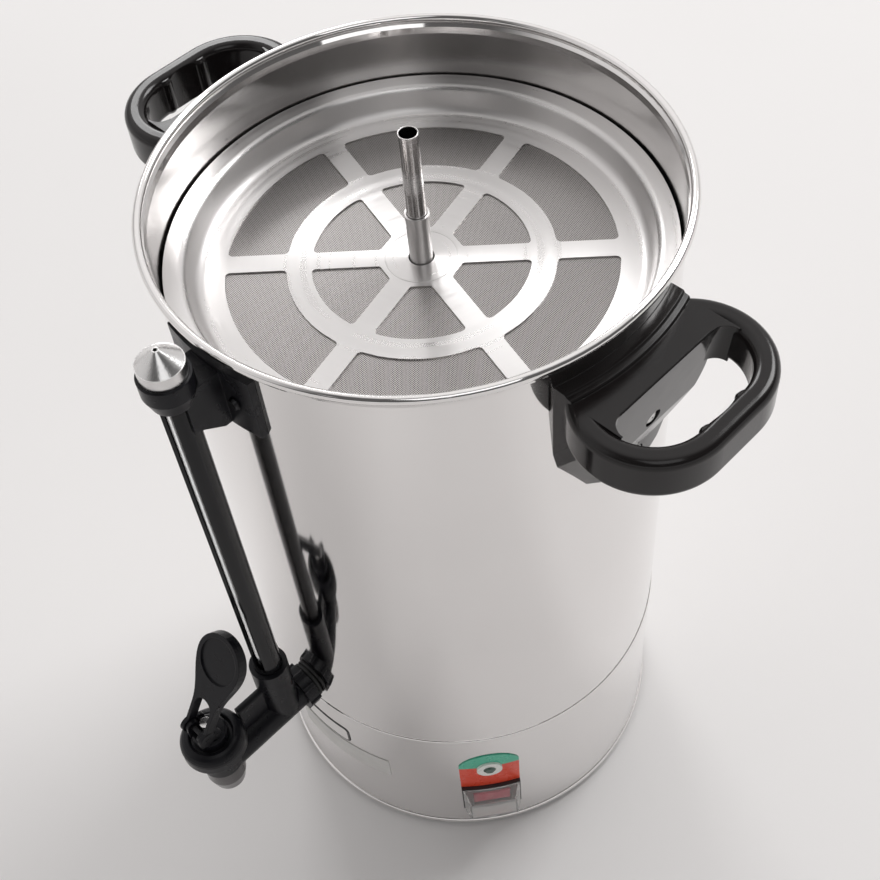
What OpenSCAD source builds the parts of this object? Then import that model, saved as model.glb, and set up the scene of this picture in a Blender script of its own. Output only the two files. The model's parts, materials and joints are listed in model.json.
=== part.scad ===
// Electric coffee urn. A polished steel tank stands on a heated base and
// holds a percolator riser, a coffee basket and its mesh spreader. A sight
// gauge and a lever tap share one arm at the front.
// The tap faces -Y, the handles lie along X, and Z = 0 is the bottom of the
// rubber foot ring. Sizes are millimetres.

/* [Tank] */
// Outer diameter of the tank and the base
tank_d = 261; // [240:1:290]
// Height from the bottom of the steel base to the top of the rim
body_h = 467; // [440:1:520]
// Thickness of the steel sheet
wall = 0.8; // [0.6:0.1:1.2]
// How far the rolled rim stands out from the wall
rim_over = 4.5; // [4:0.5:8]
// Diameter of the rolled bead on the rim
bead_d = 4.6; // [3.6:0.2:5.6]
// Height of the flare below the rim
flare_h = 10; // [8:1:16]

/* [Base] */
// Height of the base below the seam
base_h = 128.4; // [120:1:140]
// Width of the groove between base and tank
seam_w = 1.2; // [0.8:0.2:2.4]
// Height of the rubber foot ring under the steel
foot_h = 3; // [2:0.5:6]
// Width of the face that the foot ring rests on
foot_w = 7.5; // [6:0.5:10]
// Radius of the pump well in the tank floor
well_r = 24; // [22:1:30]
// Depth of the pump well
well_depth = 10; // [8:1:14]
// Outer radius of the heater plate
heater_r = 88; // [80:1:100]
// Thickness of the heater plate
heater_t = 8; // [6:1:12]

/* [Coffee set] */
// Depth of the spreader's lip below the rim
lip_drop = 36; // [30:1:50]
// Gap between the lip and the tank wall
lip_gap = 1.2; // [0.8:0.1:2]
// Width of the spreader's lip
lip_w = 10.4; // [8:0.2:14]
// Depth of the spreader from lip to floor
spreader_depth = 13.6; // [10:0.2:20]
// Depth of the coffee basket below its flange
basket_depth = 62; // [45:1:80]
// Thickness of the basket and spreader sheet
sheet = 0.8; // [0.6:0.1:1.2]
// Outer radius of the outer mesh windows
window_r = 100; // [92:1:104]
// Outer radius of the wheel's middle ring
ring_out_r = 68.7; // [64:0.1:74]
// Inner radius of the wheel's middle ring
ring_in_r = 56; // [50:0.5:60]
// Distance from the centre to the flat edge of each inner window
hub_flat = 21; // [18:0.5:26]
// Width of each spoke
spoke_w = 11.7; // [8:0.1:16]
// Number of spokes
spoke_n = 6; // [4:1:8]
// Angle of the first spoke
spoke_a = 43.9; // [0:0.1:60]
// Diameter of the riser tube
riser_d = 10; // [8:0.5:12]
// Height of the riser tube above the rim
riser_up = 29; // [20:1:40]
// Wall thickness of the riser and its guide sleeve
tube_t = 0.6; // [0.5:0.1:1]
// Height of the guide sleeve above the spreader's floor
sleeve_up = 29.5; // [24:0.5:36]
// Lift of the pump valve
valve_lift = 2; // [1:0.5:3]

/* [Handles] */
// Reach of a handle from the tank wall
handle_reach = 64.5; // [58:0.5:80]
// Width of a handle loop
handle_w = 104; // [100:1:120]
// Height of a handle loop
handle_h = 24.5; // [20:0.5:28]
// Thickness of the grip bar
grip_t = 12; // [10:0.5:14]
// Distance from the tank wall to the finger opening
opening_in = 23.5; // [22:0.5:26]
// Radius of the loop's outer corners
loop_r = 38; // [32:1:42]
// Depth of the loop's top face below the rim
handle_drop = 21.5; // [18:0.5:30]
// Thickness of the saddle on the wall
saddle_t = 10; // [8:0.5:12]
// Width of the saddle
saddle_w = 82; // [76:1:90]
// Height of the saddle at the wall
saddle_h = 90.5; // [84:0.5:98]
// Spacing of the two finger ridges
ridge_pitch = 24.8; // [22:0.2:28]
// How far the finger ridges stand in
ridge_up = 1.1; // [0.8:0.1:2]

/* [Gauge] */
// Distance of the gauge's axis from the tank wall
gauge_off = 23; // [20:0.5:28]
// Outer diameter of the gauge guard
guard_d = 16.6; // [15:0.1:18]
// Wall thickness of the guard
guard_t = 1.9; // [1.5:0.1:2.1]
// Half of the angle that the guard's slot opens
slot_a = 44; // [30:1:55]
// Outer diameter of the glass tube
glass_d = 11; // [10:0.5:12]
// Wall thickness of the glass tube
glass_t = 1.4; // [1:0.1:1.8]
// Diameter of the steel gauge cap
cap_d = 22.6; // [21:0.2:26]
// Height of the cap's tip above the rim
cap_up = 11; // [6:0.5:16]

/* [Tap] */
// Height of the tap arm's axis above the seam
arm_up = 20; // [18:0.5:26]
// Radius of the tap arm
arm_r = 11; // [10:0.5:12]
// Distance of the spout's axis from the tank wall
tap_off = 72; // [66:1:84]
// Radius of the spout's bore
spout_bore_r = 6.5; // [5:0.5:7]
// Length of the spout below the valve body
spout_len = 11.5; // [9:0.5:20]
// Length of the lever from its pin to the middle of its pad
lever_len = 52.5; // [46:0.5:60]
// Radius of the lever's pad
pad_r = 17; // [13:0.5:18]
// Lean of the closed lever towards the tank
lever_lean = 34; // [25:1:36]
// Angle that the lever swings to open the tap
lever_swing = 40; // [30:1:50]
// Distance between the lever's pin and its lifting pin
crank = 6.5; // [6:0.1:8]

/* [Switch] */
// Angle of the switch group around the base
switch_a = -37.8; // [-60:0.1:-30]
// Width of the switch frame and the plate above it
switch_w = 39; // [34:1:44]
// Height of the switch frame
switch_h = 30; // [26:1:34]
// Height of the switch frame's top edge
switch_top = 64.4; // [58:0.2:72]
// How far the clear cover stands out from the wall
cover_out = 12; // [10:0.5:15]
// Angle that the rocker tips
rocker_tip = 14; // [8:1:16]
// Height of the lamp's centre above the switch frame
lamp_up = 26; // [22:0.5:30]
// Radius of the lamp's white ring
lamp_r = 8.3; // [7:0.1:9]

/* [Hidden] */
$fn = 96;
eps = 0.01;
// clearances
touch = 0.05;      // pieces that seat on each other
run = 0.06;        // radial, sliding shafts
free = 0.3;        // pieces that move past each other

// tank and base
tank_r = tank_d / 2;
tank_in = tank_r - wall;
rim_z = foot_h + body_h;
seam_z = foot_h + base_h;
bead_r = bead_d / 2;
roll_r = 3;
roll_x = tank_r + 0.8 - roll_r;
floor_t = 1;
floor_z = seam_z + seam_w + 1.4;
floor_lap = 10;
lip_h = 6;
element_r = 4;
element_inset = 30;
element_ring_r = heater_r - element_inset;
element_gap = 40;
cold_end = 18;
pin_len = 10;
bimetal_inset = 12;
pan_z = foot_h + lip_h;
pan_r = tank_in - touch;
bracket_inset = 18.5;
bracket_r = tank_r - bracket_inset;
bracket_w = 18;
bracket_h = 18;
bracket_lap = 8;
bracket_t = 1.2;
base_screw_r = 2.1;
base_head_r = 4;
base_head_h = 2.4;
vent_n = 12;
vent_in = 60;
vent_len = 30;
vent_w = 5;

// coffee set
lip_r = tank_in - lip_gap;
lip_z = rim_z - lip_drop;
dish_r = lip_r - lip_w;
dish_draft = 4;
mesh_t = 0.4;
dish_z = lip_z - spreader_depth;
riser_r = riser_d / 2;
riser_top = rim_z + riser_up;
sleeve_in = riser_r + free;
sleeve_out = sleeve_in + tube_t;
basket_r = dish_r + 1.4;
flange_z = lip_z - sheet - touch;
basket_z = flange_z - basket_depth;
hub_hole = sleeve_out + 0.8;
seat_t = 2;
seat_r = 13;
foot_top = 34;
foot_r = well_r - 2;
valve_r = 7;
valve_t = 1.2;
valve_seat = 3;
well_z = floor_z - well_depth;

// handles
loop_z = rim_z - handle_drop - handle_h;
loop_top = loop_z + handle_h;
loop_x = tank_r + handle_reach - loop_r;
loop_y = handle_w / 2 - loop_r;
opening_x = tank_r + opening_in;
opening_y = loop_y + loop_r - grip_t;
opening_lean = 8.4;
opening_round = 8;
apron_drop = 19;
apron_foot = 20;
apron_r = opening_y - 3;
saddle_r = tank_r + saddle_t;
saddle_top = loop_top + 3;
saddle_low = saddle_top - saddle_h;
// each cut has its inset from the saddle's side, its height above the foot,
// the slope of its edge along the wall and its draft
saddle_cuts = [[0, 42, -80, 15], [9.5, 19.5, -63, 33], [19.5, 3.6, -35, 40]];
foot_draft = 45;
round_e = 4.5;
corner_sweep = 142;
ridge_r = 5;
ridge_inset = 1.5;
scallop = 2;
boss_r = 4;
boss_len = 6;
screw_r = 2;
screw_z = [loop_z - 12, saddle_low + 18];
screw_seat = [opening_x - 8.5, saddle_r - 1.4];
screw_head_r = 4.4;
screw_head_h = 2.6;

// gauge and tap
gauge_y = -(tank_r + gauge_off);
tap_y = -(tank_r + tap_off);
arm_z = seam_z + arm_up;
shank_r = 9;
arm_bore = 5;
socket_r = 11.4;
socket_top = arm_z + 52;
socket_cup = 13;
guard_r = guard_d / 2;
glass_r = glass_d / 2;
guard_low = socket_top - socket_cup;
glass_low = guard_low - 6;
cap_r = cap_d / 2;
cap_cone = 8;
cap_side = 9.6;
cap_low = rim_z + cap_up - cap_cone - cap_side;
collar_r = cap_r + 1.4;
collar_low = cap_low - 15;
collar_taper = 8;
guard_top = collar_low + 8;
neck_w = 20;
glass_top = cap_low - 2;
flange_top = rim_z - flare_h - 0.6;
flange_low = flange_top - 38;
flange_w = 56;
flange_t = 3.5;
neck_low = flange_low;
neck_top = flange_top - 3;
stud_x = 17;
stud_r = 2;
valve_out = 13;
body_low = arm_z - 13;
body_top = arm_z + 18;
chamber_r = 9.2;
valve_low_r = chamber_r + 1.6;
sleeve_r = valve_low_r + 1.4;
seat_z = arm_z - 9;
seat_hole = 5.5;
rib_t = 5;
rib_h = 34;
bonnet_r = 19.5;
bonnet_h = 17;
bonnet_top = body_top + bonnet_h;
hub_r = 10.5;
hub_top = bonnet_top + 4.5;
pin_r = 1.5;
pin_y = tap_y - crank * cos(lever_swing / 2);
pin_z = bonnet_top + 11.5;
stem_r = 2.5;
stem_head_r = 3.4;
lift_pin_z = pin_z - crank * sin(lever_swing / 2);
stem_top = lift_pin_z + 4.2;
ear_in = stem_head_r + 0.5;
ear_t = 2.4;
ear_out = ear_in + ear_t;
ear_r = 4;
cheek_in = ear_out + free;
cheek_t = 2.6;
cheek_out = cheek_in + cheek_t;
lever_t = 6;
lever_neck = 7;
knuckle_r = 5.4;
nut_r = 14;
washer_t = 2.5;
shoulder_r = 12.4;
shoulder_t = 4;
shank_in = 14;
nut_back = -(tank_r + washer_t + 0.8);
nut_front = gauge_y + socket_r + free;

// switch
switch_low = switch_top - switch_h;
switch_z = (switch_top + switch_low) / 2;
frame_out = 3;
rocker_w = 25;
rocker_h = 20;
body_d = 22;
rocker_x = tank_r - 5;
rocker_crown = 9;
lamp_z = switch_top + lamp_up;
plate_t = 0.6;
plate_side = 31.6;
plate_arch = 13;
inlet_z = 46;
inlet_w = 24;
inlet_h = 19;
inlet_d = 20;

// ---------------------------------------------------------------- helpers

module ring(r_in, r_out, z0, z1) {
    difference() {
        translate([0, 0, z0]) cylinder(r = r_out, h = z1 - z0);
        translate([0, 0, z0 - 1]) cylinder(r = r_in, h = z1 - z0 + 2);
    }
}

// a round bar along Y
module bar_y(r, y0, y1) {
    translate([0, max(y0, y1), 0]) rotate([90, 0, 0]) cylinder(r = r, h = abs(y1 - y0));
}

// a round bar along X, centred on X = 0
module bar_x(r, half) {
    translate([-half, 0, 0]) rotate([0, 90, 0]) cylinder(r = r, h = 2 * half);
}

// a rectangle with round corners, centred
module soft_rect(w, h, r) {
    square([w - 2 * r, h], center = true);
    square([w, h - 2 * r], center = true);
    for (x = [-1, 1], y = [-1, 1])
        translate([x * (w / 2 - r), y * (h / 2 - r)]) circle(r);
}

module on_switch() { rotate([0, 0, switch_a]) children(); }

// the space outside the tank wall
module off_wall(r_out, z0, z1) { ring(tank_r + touch, r_out, z0, z1); }

// ------------------------------------------------------------------- tank

// section of the wall, flared out to the bead
function shell_wall() = [
    [tank_in, seam_z + seam_w / 2], [tank_r, seam_z + seam_w / 2],
    [tank_r, rim_z - flare_h], [tank_r + 0.7, rim_z - flare_h * 0.65],
    [tank_r + rim_over - bead_r, rim_z - bead_d - 0.4],
    [tank_r + rim_over - bead_r, rim_z - bead_r],
    [tank_in + rim_over - bead_r, rim_z - bead_r],
    [tank_in + rim_over - bead_r, rim_z - bead_d - 0.4],
    [tank_in + 0.7, rim_z - flare_h * 0.65], [tank_in, rim_z - flare_h]];

module tank_shell() {
    color("lightgray") difference() {
        rotate_extrude() {
            polygon(shell_wall());
            translate([tank_r + rim_over - bead_r, rim_z - bead_r]) circle(bead_r);
        }
        translate([0, -tank_r, arm_z]) rotate([90, 0, 0])
            cylinder(r = shank_r + 0.4, h = 20, center = true);
    }
}

module tank_floor() {
    color("silver") rotate_extrude() polygon([
        [0, well_z - floor_t], [well_r + floor_t, well_z - floor_t],
        [well_r + floor_t, floor_z - floor_t], [tank_in - 3, floor_z - floor_t],
        [tank_in - floor_t, floor_z - 3], [tank_in - floor_t, seam_z - floor_lap],
        [tank_in, seam_z - floor_lap], [tank_in, floor_z - 2.5],
        [tank_in - 2.5, floor_z], [well_r, floor_z], [well_r, well_z],
        [0, well_z]]);
}

// ------------------------------------------------------------------- base

module switch_hole() {
    translate([tank_r - 20, -rocker_w / 2 - 1.5, switch_z - rocker_h / 2 - 1.5])
        cube([40, rocker_w + 3, rocker_h + 3]);
}

module lamp_hole() {
    translate([tank_r - 20, 0, lamp_z]) rotate([0, 90, 0])
        cylinder(r = lamp_r - 2.2, h = 40);
}

module base_skirt() {
    color("lightgray") difference() {
        rotate_extrude() {
            translate([tank_in, foot_h + roll_r])
                square([wall, base_h - roll_r - seam_w / 2]);
            translate([roll_x, foot_h + roll_r]) circle(roll_r);
        }
        on_switch() switch_hole();
        on_switch() lamp_hole();
        translate([-inlet_w / 2 - touch, tank_r - 20, inlet_z - inlet_h / 2 - touch])
            cube([inlet_w + 2 * touch, 40, inlet_h + 2 * touch]);
    }
}

module base_pan() {
    color("gray") difference() {
        ring(9, pan_r, pan_z + touch, pan_z + touch + wall);
        for (i = [0 : vent_n - 1]) rotate([0, 0, i * 360 / vent_n])
            translate([vent_in, -vent_w / 2, pan_z - 1]) cube([vent_len, vent_w, 4]);
        for (i = [0 : 2]) rotate([0, 0, 30 + i * 120])
            translate([bracket_r, 0, pan_z - 1]) cylinder(r = base_screw_r + 0.4, h = 4);
    }
}

module pan_brackets() {
    pan_top = pan_z + touch + wall;
    color("silver") for (i = [0 : 2]) rotate([0, 0, 30 + i * 120]) difference() {
        intersection() {
            union() {
                translate([bracket_r - bracket_lap, -bracket_w / 2, pan_top])
                    cube([tank_r, bracket_w, bracket_t]);
                difference() {
                    translate([bracket_r, -bracket_w / 2, pan_top])
                        cube([tank_r, bracket_w, bracket_h]);
                    cylinder(r = tank_in - bracket_t, h = seam_z);
                }
            }
            cylinder(r = tank_in - touch, h = seam_z);
        }
        translate([bracket_r, 0, pan_z]) cylinder(r = base_screw_r + touch, h = 10);
    }
}

module base_screws() {
    color("dimgray") for (i = [0 : 2]) rotate([0, 0, 30 + i * 120])
        translate([bracket_r, 0, 0]) {
            translate([0, 0, pan_z + touch - base_head_h])
                cylinder(r = base_head_r, h = base_head_h);
            translate([0, 0, pan_z]) cylinder(r = base_screw_r, h = 3 * base_head_h);
        }
}

module foot_ring() {
    out_r = roll_x + 1.2;
    color("black") rotate_extrude() polygon([
        [out_r - foot_w, 0], [out_r, 0], [out_r, foot_h - touch],
        [roll_x - roll_r - 0.2, foot_h - touch], [roll_x - roll_r - 0.2, pan_z],
        [out_r - foot_w, pan_z]]);
}

module heater_plate() {
    color("darkgray") ring(well_r + floor_t + 5, heater_r,
        floor_z - floor_t - heater_t, floor_z - floor_t - touch);
}

// a sheathed ring that is open at the back, with a cold end at each side
module heater_element() {
    z = floor_z - floor_t - heater_t - touch - element_r;
    color("slategray") {
        translate([0, 0, z]) rotate([0, 0, 90 + element_gap / 2])
            rotate_extrude(angle = 360 - element_gap) translate([element_ring_r, 0])
                circle(element_r);
        for (s = [-1, 1]) rotate([0, 0, 90 + s * element_gap / 2])
            translate([element_ring_r, 0, z - cold_end]) {
                cylinder(r = element_r, h = cold_end);
                translate([0, 0, -pin_len]) cylinder(r = pin_r, h = pin_len + 2);
            }
    }
}

// a round bimetal switch with two spade tabs, under the heater plate
module bimetal(a, r) {
    z = floor_z - floor_t - heater_t - touch;
    rotate([0, 0, a]) translate([heater_r - bimetal_inset, 0, z - 11]) {
        translate([0, 0, 7]) cylinder(r = r, h = 4);
        cylinder(r = r - 1.5, h = 7);
        for (s = [-1, 1]) translate([-3, s * 4 - 0.4, -7]) cube([6, 0.8, 8]);
    }
}

module thermostat() { color("saddlebrown") bimetal(200, 9); }

module thermal_cutout() { color("ivory") bimetal(340, 8); }

module terminal_block() {
    color("whitesmoke") translate([-24, 46, pan_z + touch + wall]) difference() {
        cube([48, 20, 15]);
        for (i = [0 : 3], y = [5, 15]) translate([6 + i * 12, y, 6])
            cylinder(r = 3, h = 10);
    }
}

module power_inlet() {
    color("black") difference() {
        union() {
            intersection() {
                translate([-18, tank_r - 2, inlet_z - 14]) cube([36, 5, 28]);
                off_wall(tank_r + 3, 0, 90);
            }
            translate([-inlet_w / 2, tank_r - inlet_d, inlet_z - inlet_h / 2])
                cube([inlet_w, inlet_d + 1, inlet_h]);
        }
        translate([-10.5, tank_r - 14, inlet_z - 8]) cube([21, 20, 16]);
        inlet_blades(0);
    }
}

module inlet_blades(front) {
    for (p = [[-7, -2], [0, 2], [7, -2]])
        translate([p[0] - 1, tank_r - inlet_d - 6, inlet_z + p[1] - 2])
            cube([2, inlet_d - 2 + front, 4]);
}

module inlet_pins() { color("gold") inlet_blades(3); }

// ------------------------------------------------------------- coffee set

// one sector between two spokes, cut flat at the hub side
module window_sector(r0, r1) {
    half = 180 / spoke_n;
    intersection() {
        difference() {
            circle(r1);
            circle(r0);
        }
        polygon([[spoke_w / 2 / sin(half), 0],
            [spoke_w / 2 / sin(half) + 2 * r1 * cos(half), 2 * r1 * sin(half)],
            [spoke_w / 2 / sin(half) + 2 * r1 * cos(half), -2 * r1 * sin(half)]]);
        translate([hub_flat, -r1]) square([r1, 2 * r1]);
    }
}

module wheel_windows(z, h) {
    for (i = [0 : spoke_n - 1])
        rotate([0, 0, spoke_a + (i + 0.5) * 360 / spoke_n])
            translate([0, 0, z]) linear_extrude(h) {
                window_sector(ring_out_r, window_r);
                window_sector(0.1, ring_in_r);
            }
}

module spreader_plate() {
    color("gainsboro") difference() {
        rotate_extrude() polygon([
            [hub_hole, dish_z - sheet], [dish_r - dish_draft + 0.3, dish_z - sheet],
            [dish_r + 0.3, lip_z - sheet], [lip_r, lip_z - sheet], [lip_r, lip_z],
            [dish_r - 0.4, lip_z], [dish_r - dish_draft - 0.4, dish_z],
            [hub_hole, dish_z]]);
        wheel_windows(dish_z - 2, 4);
    }
}

module spreader_mesh() {
    z = dish_z - sheet - touch;
    color("dimgray") ring(hub_hole + 3, window_r + 4, z - mesh_t, z);
}

module coffee_basket() {
    color("gainsboro") difference() {
        union() {
            rotate_extrude() polygon([
                [sleeve_in, basket_z], [basket_r + sheet, basket_z],
                [basket_r + sheet, flange_z - sheet], [lip_r - 0.4, flange_z - sheet],
                [lip_r - 0.4, flange_z], [basket_r, flange_z],
                [basket_r, basket_z + sheet], [sleeve_in, basket_z + sheet]]);
            ring(sleeve_in, sleeve_out, basket_z, dish_z + sleeve_up);
            ring(sleeve_in, sleeve_out + 0.4, dish_z + sleeve_up - 2.4, dish_z + sleeve_up);
        }
        wheel_windows(basket_z - 2, 4);
    }
}

module basket_mesh() {
    z = basket_z + sheet + touch;
    color("dimgray") ring(sleeve_out + 3, window_r + 4, z, z + mesh_t);
}

module riser_tube() {
    color("silver") ring(riser_r - tube_t, riser_r, well_z + foot_top - 12, riser_top);
}

module riser_collar() {
    z = basket_z - touch - seat_t;
    color("silver") {
        ring(riser_r + touch / 2, seat_r, z, z + seat_t);
        ring(riser_r + touch / 2, riser_r + 3, z - 6, z);
    }
}

// a bell that traps steam over the well and leads it to the tube
module riser_foot() {
    seat = well_z + valve_seat;
    post_h = valve_t + valve_lift + 0.6;
    sink = 0.5;
    color("silver") difference() {
        rotate_extrude() polygon([
            [4, well_z + touch], [foot_r, well_z + touch], [foot_r, well_z + 6],
            [foot_r - 5, well_z + 14], [riser_r + 1.5, well_z + foot_top - 6],
            [riser_r + 1.5, well_z + foot_top], [riser_r + touch / 2, well_z + foot_top],
            [riser_r + touch / 2, well_z + foot_top - 12],
            [riser_r - tube_t, well_z + foot_top - 12],
            [foot_r - 7, well_z + 13], [foot_r - 2, well_z + 5.6],
            [foot_r - 2, well_z + valve_seat], [4, well_z + valve_seat]]);
        for (i = [0 : 3]) rotate([0, 0, 45 + i * 90]) translate([10, -3, well_z - 1])
            cube([20, 6, 3]);
    }
    // guide posts keep the valve disc over its seat
    color("silver") for (i = [0 : 2]) rotate([0, 0, i * 120])
        translate([valve_r + 1.6, 0, seat - sink]) {
            cylinder(r = 1.2, h = post_h + sink + 0.4);
            translate([-2.6, -0.9, post_h + sink]) cube([3.2, 1.8, 1]);
        }
}

module pump_valve() {
    z = well_z + valve_seat + touch;
    color("gray") translate([0, 0, z]) cylinder(r = valve_r, h = valve_t);
}

// ---------------------------------------------------------------- handles

// section of the grip, [w, handle_h] with rounded edges, its corner at 0, 0
module grip_section(w) {
    translate([w / 2, handle_h / 2]) soft_rect(w, handle_h, round_e);
}

// one outer corner of the loop, swept on until it is inside the saddle
module loop_corner() {
    translate([loop_x, loop_y, loop_z]) rotate_extrude(angle = corner_sweep)
        translate([loop_r - grip_t, 0]) grip_section(grip_t);
}

// what a drafted cut takes off the saddle's lower edge
module saddle_cut(cut) {
    y = cut[0] - saddle_w / 2;
    translate([sqrt(tank_r * tank_r - y * y), y, saddle_low + cut[1]])
        rotate([cut[2], 0, 0]) rotate([0, -cut[3], 0])
            translate([-40, -60, -80]) cube([80, 120, 80]);
}

// a pad on the wall with a stepped top edge and drafted lower corners
module saddle() {
    difference() {
        intersection() {
            rotate_extrude() polygon([
                [tank_r + touch, saddle_low - 1], [saddle_r - 1.5, saddle_low - 1],
                [saddle_r + 0.5, saddle_low + 24], [saddle_r + 1.5, loop_z - 5],
                [saddle_r, loop_top], [saddle_r - 0.2, loop_top + 0.9],
                [saddle_r - 0.8, loop_top + 1.4], [saddle_r - 3, loop_top + 1.7],
                [saddle_r - 3.2, saddle_top - 0.7], [saddle_r - 3.9, saddle_top],
                [tank_r + touch, saddle_top]]);
            translate([tank_r - 30, -saddle_w / 2, saddle_low - 2])
                cube([60, saddle_w, saddle_h + 4]);
        }
        for (s = [0, 1], cut = saddle_cuts) mirror([0, s, 0]) saddle_cut(cut);
        saddle_cut([saddle_w / 2, 0, 0, foot_draft]);
    }
}

// the wall between the saddle and the finger opening leans in towards its
// foot, and an apron below it runs out into the saddle
module opening_wall() {
    half = opening_y + 1;
    apron_z = loop_z - apron_drop;
    apron_x = opening_x - (loop_top - apron_z) * tan(opening_lean);
    intersection() {
        translate([0, half, 0]) rotate([90, 0, 0]) linear_extrude(2 * half) polygon([
            [saddle_r - 4, loop_top], [opening_x - 0.7, loop_top],
            [opening_x - 0.1, loop_top - 0.7], [apron_x, apron_z],
            [saddle_r + 0.4, apron_z - apron_foot], [saddle_r - 4, apron_z - apron_foot]]);
        translate([saddle_r - 5, 0, 0]) rotate([90, 0, 90])
            linear_extrude(opening_x - saddle_r + 6) {
                translate([-half, loop_z]) square([2 * half, handle_h]);
                translate([0, loop_z - 2]) circle(apron_r);
            }
    }
    for (s = [0, 1]) mirror([0, s, 0]) opening_fillet(half);
}

// rounds a corner between the leaning wall and an arm
module opening_fillet(half) {
    intersection() {
        translate([opening_x, 0, loop_top]) rotate([0, opening_lean, 0])
            translate([0, 0, -2 * handle_h]) linear_extrude(3 * handle_h) difference() {
                translate([-6, opening_y - opening_round])
                    square([opening_round + 6, half - opening_y + opening_round]);
                translate([opening_round - 0.1, opening_y - opening_round])
                    circle(opening_round);
            }
        translate([saddle_r - 5, 0, loop_z]) cube([60, half + 1, handle_h]);
    }
}

// the straight bar between the corners, hollowed for the middle finger
module grip_bar() {
    x = tank_r + handle_reach - grip_t;
    scallop_r = (pow(ridge_pitch / 2 - 2, 2) + pow(scallop, 2)) / (2 * scallop);
    difference() {
        translate([x, loop_y, loop_z]) rotate([90, 0, 0])
            linear_extrude(2 * loop_y) grip_section(grip_t);
        translate([x + scallop - scallop_r, 0, loop_z - 1])
            cylinder(r = scallop_r, h = handle_h + 2);
    }
}

// a rounded rib that stands in from the grip between two fingers
module finger_ridge() {
    low = ridge_inset;
    high = handle_h - ridge_inset;
    rotate_extrude() polygon([[0, low], [ridge_r - 1.2, low], [ridge_r, low + 2],
        [ridge_r, high - 2], [ridge_r - 1.2, high], [0, high]]);
}

module loop() {
    ridge_x = tank_r + handle_reach - grip_t - ridge_up + ridge_r;
    difference() {
        union() {
            for (s = [0, 1]) mirror([0, s, 0]) loop_corner();
            grip_bar();
            for (s = [-1, 1]) translate([ridge_x, s * ridge_pitch / 2, loop_z]) finger_ridge();
            opening_wall();
        }
        translate([0, 0, loop_z - 1]) cylinder(r = saddle_r - 3, h = handle_h + 2);
    }
}

module handle_body() {
    difference() {
        union() {
            saddle();
            loop();
        }
        for (i = [0, 1]) translate([0, 0, screw_z[i]]) rotate([0, 90, 0]) {
            cylinder(r = boss_r + 0.3, h = tank_r + boss_len + 0.3);
            cylinder(r = screw_r + 0.3, h = screw_seat[i] + 5);
            translate([0, 0, screw_seat[i]]) cylinder(r = screw_head_r + 0.6, h = 12);
        }
    }
}

module handle_right() { color([0.13, 0.12, 0.12]) handle_body(); }

module handle_left() { color([0.13, 0.12, 0.12]) rotate([0, 0, 180]) handle_body(); }

module handle_bosses() {
    color("silver") for (a = [0, 180], z = screw_z) rotate([0, 0, a]) difference() {
        translate([tank_in, 0, z]) rotate([0, 90, 0])
            cylinder(r = boss_r, h = boss_len + wall);
        cylinder(r = tank_r + touch / 2, h = rim_z);
        translate([tank_in, 0, z]) rotate([0, 90, 0])
            cylinder(r = screw_r + touch, h = 2 * boss_len);
    }
}

module handle_screws() {
    color("silver") for (a = [0, 180], i = [0, 1]) rotate([0, 0, a])
        translate([0, 0, screw_z[i]]) rotate([0, 90, 0]) {
            translate([0, 0, tank_r + 1.5]) cylinder(r = screw_r, h = screw_seat[i] - tank_r);
            translate([0, 0, screw_seat[i] + touch])
                cylinder(r1 = screw_head_r, r2 = screw_head_r - 1.6, h = screw_head_h);
        }
}

// ------------------------------------------------------------------ gauge

module gauge_bracket() {
    color([0.08, 0.08, 0.1]) difference() {
        union() {
            // flange on the wall
            intersection() {
                off_wall(tank_r + flange_t, flange_low, flange_top);
                translate([-flange_w / 2, -tank_r - 20, flange_low])
                    cube([flange_w, 40, flange_top - flange_low]);
            }
            // neck, with its foot rising towards the gauge
            intersection() {
                translate([-neck_w / 2, 0, 0]) rotate([90, 0, 90]) linear_extrude(neck_w)
                    polygon([[gauge_y, neck_low + 10], [gauge_y + guard_r - 3, neck_low + 8],
                        [-tank_r - 7, neck_low + 0.6], [-tank_r + 5, neck_low + 0.3],
                        [-tank_r + 5, neck_top], [gauge_y, neck_top]]);
                off_wall(tank_r + gauge_off, 0, rim_z);
            }
            // collar, tapered below
            translate([0, gauge_y, 0]) {
                translate([0, 0, collar_low])
                    cylinder(r1 = guard_r + 1.8, r2 = collar_r, h = collar_taper);
                translate([0, 0, collar_low + collar_taper])
                    cylinder(r = collar_r, h = cap_low - collar_low - collar_taper + 2.4);
            }
        }
        translate([0, gauge_y, 0]) {
            translate([0, 0, neck_low - 1])
                cylinder(r = guard_r + touch, h = guard_top - neck_low + 1 + touch);
            translate([0, 0, neck_low]) cylinder(r = glass_r + 0.4, h = cap_low - neck_low + 1);
            translate([0, 0, cap_low]) cylinder(r = cap_r + touch, h = 10);
        }
        for (s = [-1, 1]) translate([s * stud_x, 0, (flange_low + flange_top) / 2])
            rotate([90, 0, 0]) cylinder(r = stud_r + touch, h = 2 * tank_r);
    }
}

module gauge_studs() {
    color("dimgray") for (s = [-1, 1]) difference() {
        translate([s * stud_x, -tank_r + 6, (flange_low + flange_top) / 2]) rotate([90, 0, 0]) {
            cylinder(r = stud_r, h = 11);
            translate([0, 0, flange_t + 5.7]) cylinder(r1 = stud_r + 1.4, r2 = stud_r + 0.8, h = 1.8);
        }
        cylinder(r = tank_r + touch / 2, h = rim_z);
    }
}

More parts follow.
